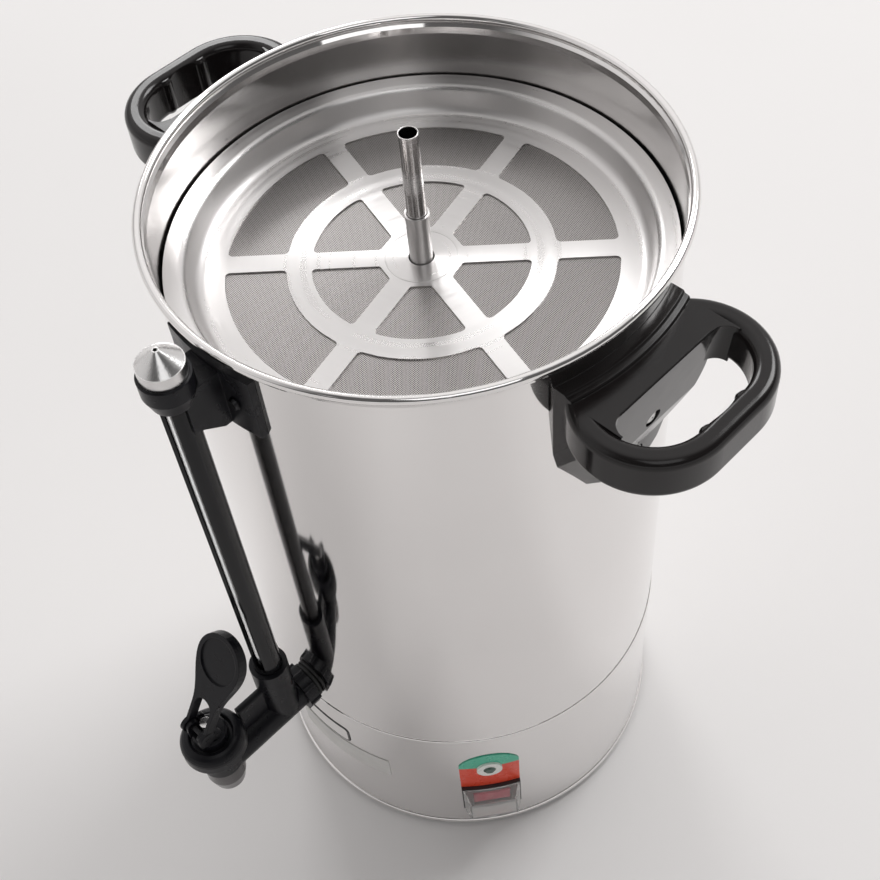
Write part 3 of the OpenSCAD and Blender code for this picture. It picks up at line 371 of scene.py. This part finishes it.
def finish_piece(name, points, faces, material, slot_name, body, smooth=True):
    """Makes a piece from plain lists, closes its seams and lets it ride."""
    mesh = bpy.data.meshes.new(name)
    mesh.from_pydata(points, [], faces)
    bm = bmesh.new()
    bm.from_mesh(mesh)
    bmesh.ops.remove_doubles(bm, verts=bm.verts, dist=WELD)
    bmesh.ops.delete(bm, geom=[edge for edge in bm.edges if not edge.link_faces], context="EDGES")
    bmesh.ops.recalc_face_normals(bm, faces=bm.faces)
    bm.to_mesh(mesh)
    bm.free()
    if smooth:
        mesh.shade_smooth()
        mesh.set_sharp_from_angle(angle=math.radians(SHARP))
    mesh.materials.append(material)
    piece = bpy.data.objects.new(name, mesh)
    bpy.context.scene.collection.objects.link(piece)
    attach(piece, body)
    return piece


def turned(profile, steps, place=None):
    """Points and faces of a closed profile of (radius, height) spun round Z, then placed."""
    place = place or Matrix.Identity(4)
    points, faces = [], []
    count = len(profile)
    for i in range(steps):
        a = 2.0 * math.pi * i / steps
        points += [place @ Vector((r * math.cos(a), r * math.sin(a), z)) for r, z in profile]
        for j in range(count):
            k, n = (j + 1) % count, ((i + 1) % steps) * count
            faces.append((i * count + j, i * count + k, n + k, n + j))
    return points, faces


def bead(radius, height, r, steps):
    """Section of a round bead."""
    angles = [2 * math.pi * k / steps for k in range(steps)]
    return [(radius + r * math.cos(a), height + r * math.sin(a)) for a in angles]


def joined(parts):
    """One list of points and one of faces from several such pairs."""
    points, faces = [], []
    for more_points, more_faces in parts:
        start = len(points)
        points += more_points
        faces += [tuple(i + start for i in face) for face in more_faces]
    return points, faces


# ------------------------------------------------------------ rolled edges

def add_rolled_edges(materials):
    """A polished bead closes the seam, and another one rolls in the skirt's bottom edge."""
    seam_r, foot_r, steps = 1.4 * MM, 3.3 * MM, 256
    points, faces = turned(bead(WALL_R - 0.7 * MM, SEAM_Z, seam_r, 24), steps)
    finish_piece("seam_bead", points, faces, materials["mirror_steel"], "mirror_steel", "urn")
    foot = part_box("base_skirt")[0].z
    points, faces = turned(bead(WALL_R - 2.0 * MM, foot + foot_r, foot_r, 32), steps)
    finish_piece("foot_bead", points, faces, materials["mirror_steel"], "mirror_steel", "urn")


# ------------------------------------------------------------- bare plates

# name, look, slot, azimuths of the ends, heights of the edges,
# radius of the corners, distance from the wall, thickness
PLATES = (
    ("label_strip", "bare_label", "plated_sheet",
     (-99.5, -67.0), (65 * MM, 87 * MM), 0.8 * MM, 0.0, 0.35 * MM),
    ("plate_border", "switch_black", "switch_black",
     (-122.0, -79.0), (90 * MM, 108 * MM), 4.0 * MM, 0.0, 0.3 * MM),
    ("rating_plate", "mirror_steel", "mirror_steel",
     (-121.3, -79.7), (91.5 * MM, 106.5 * MM), 2.8 * MM, 0.1 * MM, 0.3 * MM),
)
PLATE_COLUMNS = 40


def rounded_limits(u, half_u, half_z, corner):
    """Half height of a rounded rectangle at the distance u from its middle."""
    over = max(0.0, abs(u) - (half_u - corner))
    return half_z - corner + math.sqrt(max(0.0, corner * corner - over * over))


def wrapped_plate(azimuths, heights, corner, lift, thick):
    """A thin plate with round corners that follows the base skirt."""
    (azimuth_0, azimuth_1), (z_0, z_1) = azimuths, heights
    half_u = 0.5 * math.radians(azimuth_1 - azimuth_0) * WALL_R
    half_z, mid_z = 0.5 * (z_1 - z_0), 0.5 * (z_0 + z_1)
    middle = math.radians(0.5 * (azimuth_0 + azimuth_1))
    points, faces = [], []
    for i in range(PLATE_COLUMNS + 1):
        u = half_u * math.sin(math.pi * (i / PLATE_COLUMNS - 0.5))
        h = rounded_limits(u, half_u, half_z, corner)
        a = middle + u / WALL_R
        for r in (WALL_R + lift, WALL_R + lift + thick):
            for z in (mid_z - h, mid_z + h):
                points.append((r * math.cos(a), r * math.sin(a), z))
        if i:
            p, q = 4 * (i - 1), 4 * i
            faces += [(p, p + 1, q + 1, q), (p + 2, q + 2, q + 3, p + 3),
                      (p, q, q + 2, p + 2), (p + 1, p + 3, q + 3, q + 1)]
    last = 4 * PLATE_COLUMNS
    faces += [(0, 2, 3, 1), (last, last + 1, last + 3, last + 2)]
    return points, faces


def add_plates(materials):
    """The bare strip and the bare rating plate with its dark border."""
    for name, look, slot_name, *shape in PLATES:
        points, faces = wrapped_plate(*shape)
        finish_piece(name, points, faces, materials[look], slot_name, "urn")


# ------------------------------------------------------------- tap details

def add_washers(materials):
    """Two rubber rings that seal the tap's shank, outside and inside the wall."""
    low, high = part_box("tap_washers")
    outer_thick, inner_thick = 2.5 * MM, 3.6 * MM
    r_0, r_1, soft = 9.1 * MM, 12.2 * MM, 0.5 * MM
    turn = Matrix.Translation((0.0, 0.0, ARM_Z)) @ Matrix.Rotation(math.radians(-90.0), 4, "X")
    parts = []
    for y_0, y_1 in ((low.y, low.y + outer_thick), (high.y - inner_thick, high.y)):
        section = [(r_0, y_0), (r_1 - soft, y_0), (r_1, y_0 + soft),
                   (r_1, y_1 - soft), (r_1 - soft, y_1), (r_0, y_1)]
        parts.append(turned(section, 64, turn))
    points, faces = joined(parts)
    rings = finish_piece("washer_rings", points, faces, materials["foot_rubber"], "foot_rubber", "urn")
    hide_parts("tap_washers")


def add_spring(materials):
    """The return spring as a real coil with closed ends."""
    low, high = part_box("tap_spring")
    middle = 0.5 * (low + high)
    coil_r, wire_r = 5.3 * MM, 0.55 * MM
    turns, per_turn, around = 8, 24, 8
    points, faces = [], []
    total = turns * per_turn
    for i in range(total + 1):
        t = i / total
        # the first and the last turn lie flat
        climb = min(1.0, max(0.0, (t - 1 / turns) / (1 - 2 / turns)))
        z = low.z + wire_r + (high.z - low.z - 2 * wire_r) * climb
        a = 2 * math.pi * turns * t
        for k in range(around):
            b = 2 * math.pi * k / around
            r = coil_r + wire_r * math.cos(b)
            points.append((middle.x + r * math.cos(a), middle.y + r * math.sin(a),
                           z + wire_r * math.sin(b)))
            if i:
                n, c = (k + 1) % around, around * i
                faces.append((c - around + k, c - around + n, c + n, c + k))
    faces += [tuple(range(around)), tuple(range(around * total, around * (total + 1)))]
    coil = finish_piece("spring_coil", points, faces, materials["satin_steel"], "satin_steel", "urn")
    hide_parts("tap_spring")
    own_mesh(coil)


# ----------------------------------------------------------- handle screws

# height of each screw, and the distance of its seat from the urn's axis
SCREW_SEATS = ((412 * MM, 145.55 * MM), (379 * MM, 139.15 * MM))
HEAD_H = 2.7 * MM


def screw_places():
    """Placement and seat of each screw, with Z pointing out of the handle."""
    for side in (-1.0, 1.0):
        for z, seat in SCREW_SEATS:
            turn = Matrix.Rotation(math.radians(90.0 * side), 4, "Y")
            yield Matrix.Translation((0.0, 0.0, z)) @ turn, seat


def domed_screw(seat):
    """Section of a screw, from its end at the wall to the top of its head."""
    head_r, shank_r, edge, end = 4.4 * MM, 2.0 * MM, 0.5 * MM, WALL_R + 1.5 * MM
    section = [(POLE_R, end), (shank_r, end), (shank_r, seat), (head_r, seat)]
    for degrees in range(0, 90, 10):
        a = math.radians(degrees)
        section.append((head_r * math.cos(a), seat + edge + (HEAD_H - edge) * math.sin(a)))
    return section + [(POLE_R, seat + HEAD_H)]


def recess_shade_bars(turn, seat):
    """Two crossed bars, which end just under the dome and peak just above it: dressed dark, they are
    painted shade in place of a cut cross recess.
    """
    arm, width = 2.3 * MM, 0.45 * MM
    low_z, end_z, mid_z = HEAD_H - 1.4 * MM, HEAD_H - 0.42 * MM, HEAD_H + 0.06 * MM
    outline = [(-arm, low_z), (arm, low_z), (arm, end_z), (0.0, mid_z), (-arm, end_z)]
    for quarter in range(2):
        spin = turn @ Matrix.Rotation(math.radians(90.0 * quarter), 4, "Z")
        points = [spin @ Vector((x, y, seat + h)) for y in (-width, width) for x, h in outline]
        faces = [(0, 1, 2, 3, 4), (9, 8, 7, 6, 5)]
        faces += [(i, (i + 1) % 5, (i + 1) % 5 + 5, i + 5) for i in range(5)]
        yield points, faces


def add_screw_heads(materials):
    """Domed screws hold the handles, with dark bars as painted shade of their cross recess."""
    points, faces = joined([turned(domed_screw(seat), 32, turn) for turn, seat in screw_places()])
    heads = finish_piece("screw_heads", points, faces, materials["plated_sheet"], "satin_steel", "urn")
    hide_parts("handle_screws")
    # painted shade: dark steel bars stand for the shade in each cross recess
    points, faces = joined([bar for turn, seat in screw_places() for bar in recess_shade_bars(turn, seat)])
    finish_piece("screw_recess_shades", points, faces, materials["dark_steel"], "dark_steel", "urn",
                 smooth=False)


# --------------------------------------------------------------- spreader

SPOKES, SPOKE_AT, SPOKE_HALF = 6, 43.9, 5.85 * MM
HUB_R, HUB_FLAT = 6.7 * MM, 21.0 * MM
RING_IN, RING_OUT, WINDOW_R = 56.0 * MM, 68.7 * MM, 100.0 * MM
OUTER_CORNER, INNER_CORNER = 2.6 * MM, 2.2 * MM      # radii of the windows' corners
FLAT_R = 108.0 * MM                                 # the flat middle ends here
LIP_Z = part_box("spreader_plate")[1].z
DISH_DEPTH = 13.6 * MM
SHEET = 0.8 * MM
LONG_ARC, SHORT_ARC, CORNER_ARC = 16, 12, 6         # steps of the arcs in a window's outline
WHEEL_STEPS = 144


def corner_arc(before, corner, after, radius):
    """Points that round a corner of an outline."""
    u, v = (before - corner).normalized(), (after - corner).normalized()
    half = 0.5 * u.angle(v)
    longest = 0.45      # of either side, at most, goes to the corner
    reach = min(radius / math.tan(half),
                longest * (before - corner).length, longest * (after - corner).length)
    middle = corner + (u + v).normalized() * (reach / math.cos(half))
    start, end = corner + u * reach - middle, corner + v * reach - middle
    sweep = start.angle_signed(end)
    out = []
    for i in range(CORNER_ARC + 1):
        a = -sweep * i / CORNER_ARC
        out.append(middle + Vector((start.x * math.cos(a) - start.y * math.sin(a),
                                    start.x * math.sin(a) + start.y * math.cos(a))))
    return out


def spoke_edge(r):
    """Angle from a window's middle line to the spoke's edge at radius r."""
    return math.pi / SPOKES - math.asin(SPOKE_HALF / r)


def window_outline(r_0, r_1, turn, corner):
    """Outline of a window between two spokes, round at its corners, counterclockwise.

    It reaches from r_0 to r_1, or from the flat side of the hub where r_0 is 0.
    """
    arc = [(r_1, spoke_edge(r_1) * (2 * i / LONG_ARC - 1)) for i in range(LONG_ARC + 1)]
    if r_0:
        arc += [(r_0, spoke_edge(r_0) * (1 - 2 * i / SHORT_ARC)) for i in range(SHORT_ARC + 1)]
    else:
        slope = math.pi / SPOKES
        side = (HUB_FLAT * math.sin(slope) - SPOKE_HALF) / math.cos(slope)
        flat, wide = math.hypot(HUB_FLAT, side), math.atan2(side, HUB_FLAT)
        arc += [(flat, wide), (flat, -wide)]
    corners = (0, LONG_ARC, LONG_ARC + 1, len(arc) - 1)
    plain = [Vector((r * math.cos(a + turn), r * math.sin(a + turn))) for r, a in arc]
    count, out = len(plain), []

    def neighbour(i, way):
        """The point that a corner leans on: two steps along an arc, or the next corner."""
        return plain[(i + way) % count] if (i + way) % count in corners else plain[(i + 2 * way) % count]

    for i, point in enumerate(plain):
        if i in corners:
            out += corner_arc(neighbour(i, -1), point, neighbour(i, 1), corner)
        elif all(min((i - c) % count, (c - i) % count) > 1 for c in corners):
            out.append(point)
    return out


def circle(radius, steps):
    angles = [2 * math.pi * i / steps for i in range(steps)]
    return [Vector((radius * math.cos(a), radius * math.sin(a))) for a in angles]


def bend(r, z, radius, a_0, a_1, steps=8):
    """Part of a circle in a section."""
    angles = [math.radians(a_0 + (a_1 - a_0) * i / steps) for i in range(steps + 1)]
    return [(r + radius * math.cos(a), z + radius * math.sin(a)) for a in angles]


def wheel_flat(top):
    """The flat middle of the spreader with its windows, without an outer edge."""
    rings = [circle(FLAT_R, WHEEL_STEPS), circle(HUB_R, 36)]
    for i in range(SPOKES):
        turn = math.radians(SPOKE_AT) + (i + 0.5) * 2 * math.pi / SPOKES
        rings.append(window_outline(RING_OUT, WINDOW_R, turn, OUTER_CORNER))
        rings.append(window_outline(0.0, RING_IN, turn, INNER_CORNER))
    flat = [p for ring in rings for p in ring]
    count = len(flat)
    points = [Vector((p.x, p.y, z)) for z in (top, top - SHEET) for p in flat]
    thirds = tessellate_polygon([[Vector((p.x, p.y, 0.0)) for p in ring] for ring in rings])
    faces = [tuple(f) for f in thirds] + [tuple(i + count for i in reversed(f)) for f in thirds]
    start = len(rings[0])
    for ring in rings[1:]:
        n = len(ring)
        faces += [(start + i, start + (i + 1) % n, start + (i + 1) % n + count, start + i + count)
                  for i in range(n)]
        start += n
    return points, faces


def wheel_wall(top):
    """The dish's wall and lip, open where the flat middle joins them."""
    foot, lip, edge = 114.4 * MM, 117.7 * MM, 128.5 * MM
    foot_bend, lip_bend = 5.6 * MM, 4.2 * MM
    foot_at, lip_at = foot - 4.6 * MM, lip + 3.4 * MM       # where the bends have their middles
    over = [(FLAT_R, top)] + bend(foot_at, top + foot_bend, foot_bend, -90, -22)
    over += bend(lip_at, LIP_Z - lip_bend, lip_bend, 158, 90)
    over += [(128.3 * MM, LIP_Z), (edge, LIP_Z - 0.3 * MM)]
    under = [(edge, LIP_Z - SHEET), (lip_at, LIP_Z - SHEET),
             (lip + 1.1 * MM, LIP_Z - 2.2 * MM), (lip - 0.1 * MM, LIP_Z - 4.6 * MM),
             (foot + 1.0 * MM, top + 3.5 * MM), (foot - 1.2 * MM, top + 0.5 * MM),
             (foot_at, top - SHEET), (FLAT_R, top - SHEET)]
    points, faces = turned(over + under, WHEEL_STEPS)
    count = len(over + under)
    return points, [f for f in faces if {i % count for i in f} != {0, count - 1}]


def add_spreader(materials):
    """The wheel-shaped spreader with round window corners and rounded bends."""
    top = LIP_Z - DISH_DEPTH
    points, faces = joined([wheel_flat(top), wheel_wall(top)])
    plate = finish_piece("spreader_wheel", points, faces, materials["pressed_steel"], "satin_steel",
                         "spreader")
    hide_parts("spreader_plate")
    sunk, proud = top - 0.2 * MM, top + 0.12 * MM
    points, faces = turned([(17.5 * MM, sunk), (18.3 * MM, proud), (19.1 * MM, sunk)], 96)
    finish_piece("hub_ring", points, faces, materials["pressed_steel"], "satin_steel", "spreader")


# ------------------------------------------------------------------- stage

FLOOR_HALF = 12.0
FLOOR_LIGHT, FLOOR_DARK = (0.86, 0.845, 0.838), (0.83, 0.812, 0.806)


def add_floor():
    size = FLOOR_HALF
    corners = [(-size, -size, 0), (size, -size, 0), (size, size, 0), (-size, size, 0)]
    mesh = bpy.data.meshes.new("floor")
    mesh.from_pydata(corners, [], [(0, 1, 2, 3)])
    floor = bpy.data.objects.new("floor", mesh)
    bpy.context.scene.collection.objects.link(floor)
    s = Shader("floor")
    s.set(Roughness=0.75)
    s.feed(Base_Color=s.mixed(s.noise(2.5, 4.0), FLOOR_LIGHT, FLOOR_DARK))
    mesh.materials.append(s.material)


# soft sources of the room: azimuth and elevation of the middle, the angles
# from it where the source starts and ends to fade, its strength
SKY = (
    (128.0, 46.0, 16.0, 62.0, 0.86),    # bright wall and ceiling behind the urn
    (79.0, 36.0, 5.0, 12.0, 0.6),       # paler strip at the back right
    (-138.0, 28.0, 12.0, 45.0, 0.62),   # paler wall at the left
    (-37.0, 36.0, 0.8, 2.5, 1.2),       # two narrow gaps of light at the front
    (-82.0, 36.0, 1.0, 4.0, 0.6),
)
SKY_DIM = 0.11                          # strength of the rest of the room
ROOM_COLOR = (1.0, 0.982, 0.975, 1.0)
# a pale backdrop round the floor, seen alike by the camera, metal and glass:
# its strength, and the elevations where it starts and ends to fade
BACKDROP = 0.85
BACKDROP_UP_TO = (6.0, 18.0)

# name, distance, azimuth, elevation, width and height, watts
LAMPS = (
    ("key", 5.0, 85.0, 48.0, (2.0, 1.6), 81.0),
    ("fill", 5.0, -28.0, 62.0, (2.4, 2.4), 22.0),
    ("window", 4.0, 150.0, 32.5, (1.0, 1.5), 30.0),
)
LAMPS_AIM_AT = (0.0, 0.0, 0.25)         # the middle of the urn


def toward(azimuth, elevation):
    a, e = math.radians(azimuth), math.radians(elevation)
    return Vector((math.cos(e) * math.cos(a), math.cos(e) * math.sin(a), math.sin(e)))


def add_world():
    """A room that is bright behind the urn and dim on the camera's side, above a pale backdrop."""
    world = bpy.data.worlds.new("world")
    bpy.context.scene.world = world
    world.use_nodes = True
    nodes, link = world.node_tree.nodes, world.node_tree.links.new
    direction = nodes.new("ShaderNodeTexCoord").outputs["Generated"]

    def faded(value, *numbers):
        ramp = nodes.new("ShaderNodeMapRange")
        ramp.interpolation_type = "SMOOTHSTEP"
        set_range(ramp, *numbers)
        link(value, ramp.inputs["Value"])
        return ramp.outputs["Result"]

    total = None
    for azimuth, elevation, full, none, strength in SKY:
        dot = nodes.new("ShaderNodeVectorMath")
        dot.operation = "DOT_PRODUCT"
        dot.inputs[1].default_value = toward(azimuth, elevation)
        link(direction, dot.inputs[0])
        source = faded(dot.outputs["Value"], math.cos(math.radians(none)),
                       math.cos(math.radians(full)), 0.0, strength)
        add = nodes.new("ShaderNodeMath")
        add.inputs[1].default_value = SKY_DIM
        if total:
            link(total, add.inputs[1])
        link(source, add.inputs[0])
        total = add.outputs["Value"]
    split = nodes.new("ShaderNodeSeparateXYZ")
    link(direction, split.inputs["Vector"])
    fade_from, fade_to = (math.sin(math.radians(a)) for a in BACKDROP_UP_TO)
    room = nodes.new("ShaderNodeMath")
    room.operation = "MAXIMUM"
    link(faded(split.outputs["Z"], fade_from, fade_to, BACKDROP, 0.0), room.inputs[0])
    link(total, room.inputs[1])
    shade = nodes["Background"]
    link(room.outputs["Value"], shade.inputs["Strength"])
    shade.inputs["Color"].default_value = ROOM_COLOR


def add_lights():
    for name, distance, azimuth, elevation, size, watts in LAMPS:
        data = bpy.data.lights.new(name, "AREA")
        data.shape = "RECTANGLE"
        data.size, data.size_y = size
        data.energy = watts
        light = bpy.data.objects.new(name, data)
        light.location = distance * toward(azimuth, elevation)
        aim = Vector(LAMPS_AIM_AT) - distance * toward(azimuth, elevation)
        light.rotation_euler = aim.to_track_quat("-Z", "Y").to_euler()
        bpy.context.scene.collection.objects.link(light)


# -------------------------------------------------------------------- main

add_camera()
add_world()
add_lights()
add_floor()
MATERIALS = make_materials()
dress_nodes(MATERIALS)
add_rolled_edges(MATERIALS)
add_plates(MATERIALS)
add_washers(MATERIALS)
add_spring(MATERIALS)
add_screw_heads(MATERIALS)
add_spreader(MATERIALS)

bpy.context.scene.view_settings.view_transform = "Standard"
bpy.context.view_layer.update()
